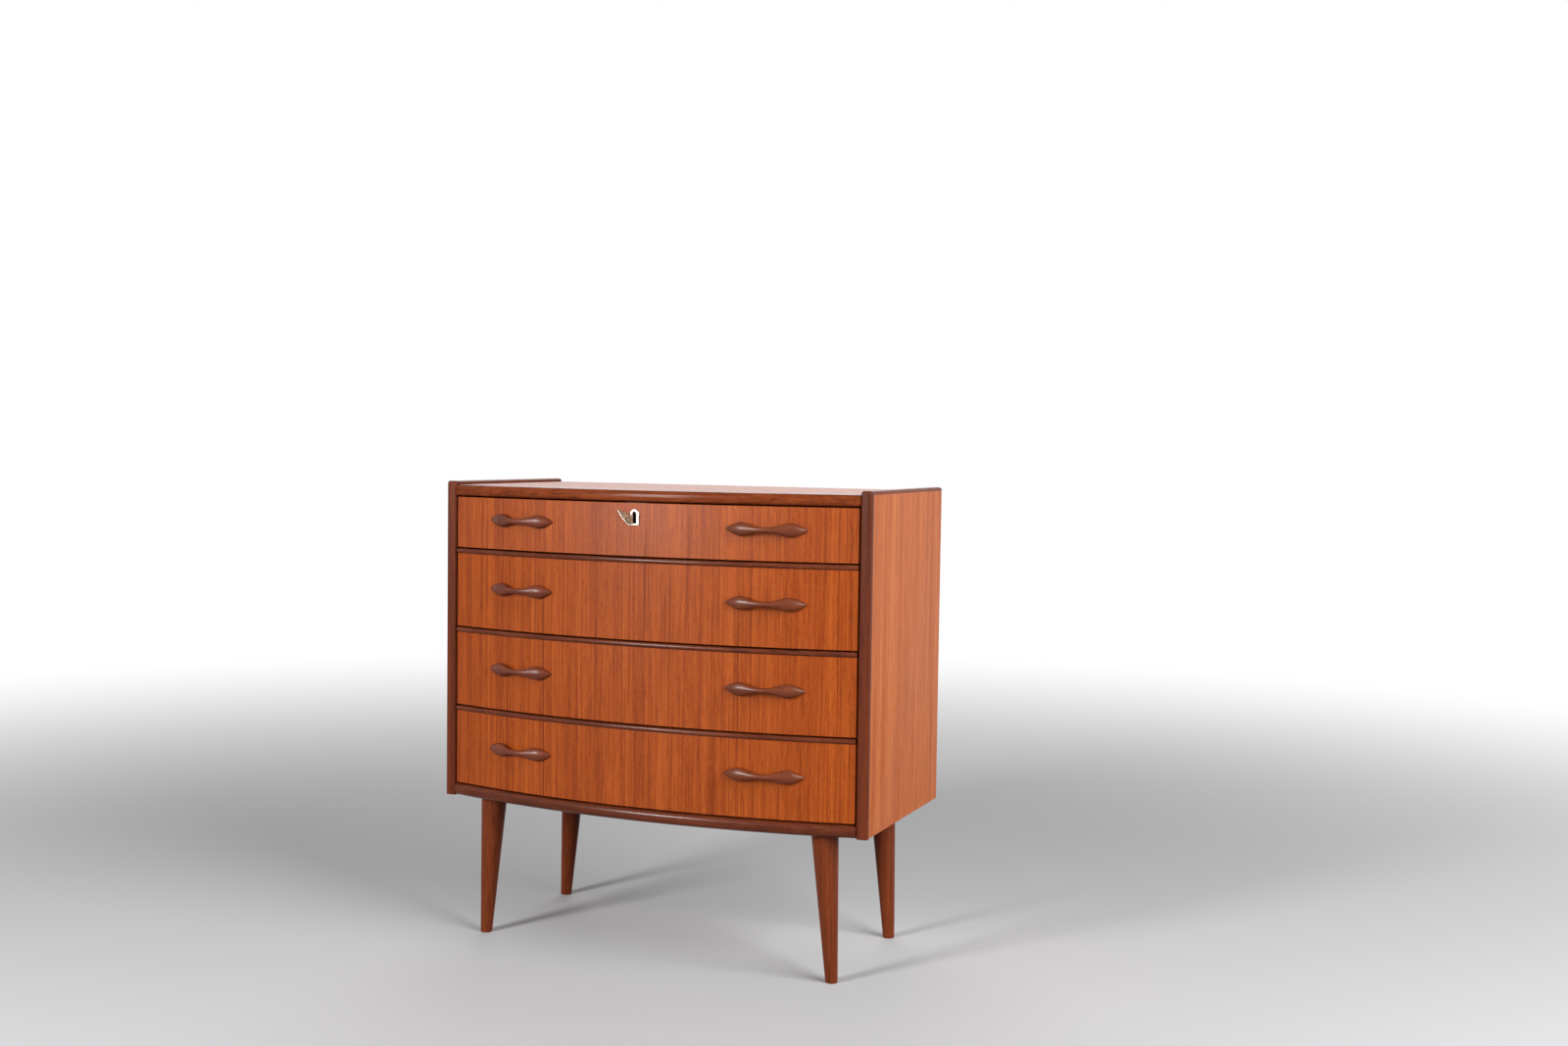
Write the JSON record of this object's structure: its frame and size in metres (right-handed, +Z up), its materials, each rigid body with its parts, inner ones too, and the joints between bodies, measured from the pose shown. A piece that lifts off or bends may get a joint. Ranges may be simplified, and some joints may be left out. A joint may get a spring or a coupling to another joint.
{
  "type": "bow front chest of drawers",
  "caption": "Low chest with a bowed front: drawers on side runners with carved bow handles, a lock in the top drawer, raised dark-edged sides and tapered splayed legs.",
  "frame": {"origin": "bottom centre of the whole chest's box, on the floor", "axes": "+Z up, +X to the right seen from the front, the drawers open towards -Y"},
  "size_m": [0.75, 0.3838, 0.756],
  "materials": {
    "teak_veneer": "oiled satin teak veneer, grain upright",
    "dark_teak": "solid teak, dark stained, satin",
    "leg_teak": "solid teak, satin",
    "drawer_wood": "solid beech, lacquered",
    "plywood": "thin plywood, raw",
    "case_board": "veneered board, raw",
    "runner_wood": "solid beech, waxed",
    "steel": "zinc plated steel",
    "nickel": "nickel plated, polished"
  },
  "bodies": {
    "case": {"top_panel": "teak_veneer", "top_front_moulding": "dark_teak", "bottom_panel": "case_board", "bottom_front_rail": "dark_teak", "back_panel": "plywood", "back_panel_screws": "steel", "lock_strike_plate": "steel", "leg_studs": "steel", "runner_screws": "steel", "left_side_panel": "teak_veneer", "left_side_front_lipping": "dark_teak", "left_side_top_lipping": "dark_teak", "left_runners": "runner_wood", "left_leg_front": "leg_teak", "left_leg_back": "leg_teak", "right_side_panel": "teak_veneer", "right_side_front_lipping": "dark_teak", "right_side_top_lipping": "dark_teak", "right_runners": "runner_wood", "right_leg_front": "leg_teak", "right_leg_back": "leg_teak"},
    "drawer_1": {"drawer_1_front": "teak_veneer", "drawer_1_side_left": "drawer_wood", "drawer_1_side_right": "drawer_wood", "drawer_1_back": "drawer_wood", "drawer_1_bottom": "plywood", "drawer_1_handle_left": "dark_teak", "drawer_1_handle_right": "dark_teak", "drawer_1_handle_screws": "steel", "lock_escutcheon": "nickel", "lock_case": "steel", "lock_screws": "steel"},
    "drawer_2": {"drawer_2_front": "teak_veneer", "drawer_2_side_left": "drawer_wood", "drawer_2_side_right": "drawer_wood", "drawer_2_back": "drawer_wood", "drawer_2_bottom": "plywood", "drawer_2_handle_left": "dark_teak", "drawer_2_handle_right": "dark_teak", "drawer_2_handle_screws": "steel", "drawer_2_lip": "dark_teak"},
    "drawer_3": {"drawer_3_front": "teak_veneer", "drawer_3_side_left": "drawer_wood", "drawer_3_side_right": "drawer_wood", "drawer_3_back": "drawer_wood", "drawer_3_bottom": "plywood", "drawer_3_handle_left": "dark_teak", "drawer_3_handle_right": "dark_teak", "drawer_3_handle_screws": "steel", "drawer_3_lip": "dark_teak"},
    "drawer_4": {"drawer_4_front": "teak_veneer", "drawer_4_side_left": "drawer_wood", "drawer_4_side_right": "drawer_wood", "drawer_4_back": "drawer_wood", "drawer_4_bottom": "plywood", "drawer_4_handle_left": "dark_teak", "drawer_4_handle_right": "dark_teak", "drawer_4_handle_screws": "steel", "drawer_4_lip": "dark_teak"},
    "lock_bolt": {"lock_bolt": "steel"}
  },
  "joints": [
    {"name": "drawer_1_slide", "type": "slide", "parent": "case", "child": "drawer_1", "axis": [0, -1, 0], "range_m": [0, 0.22]},
    {"name": "drawer_2_slide", "type": "slide", "parent": "case", "child": "drawer_2", "axis": [0, -1, 0], "range_m": [0, 0.22]},
    {"name": "drawer_3_slide", "type": "slide", "parent": "case", "child": "drawer_3", "axis": [0, -1, 0], "range_m": [0, 0.22]},
    {"name": "drawer_4_slide", "type": "slide", "parent": "case", "child": "drawer_4", "axis": [0, -1, 0], "range_m": [0, 0.22]},
    {"name": "lock_bolt_slide", "type": "slide", "parent": "drawer_1", "child": "lock_bolt", "axis": [0, 0, 1], "range_m": [0, 0.006]}
  ]
}
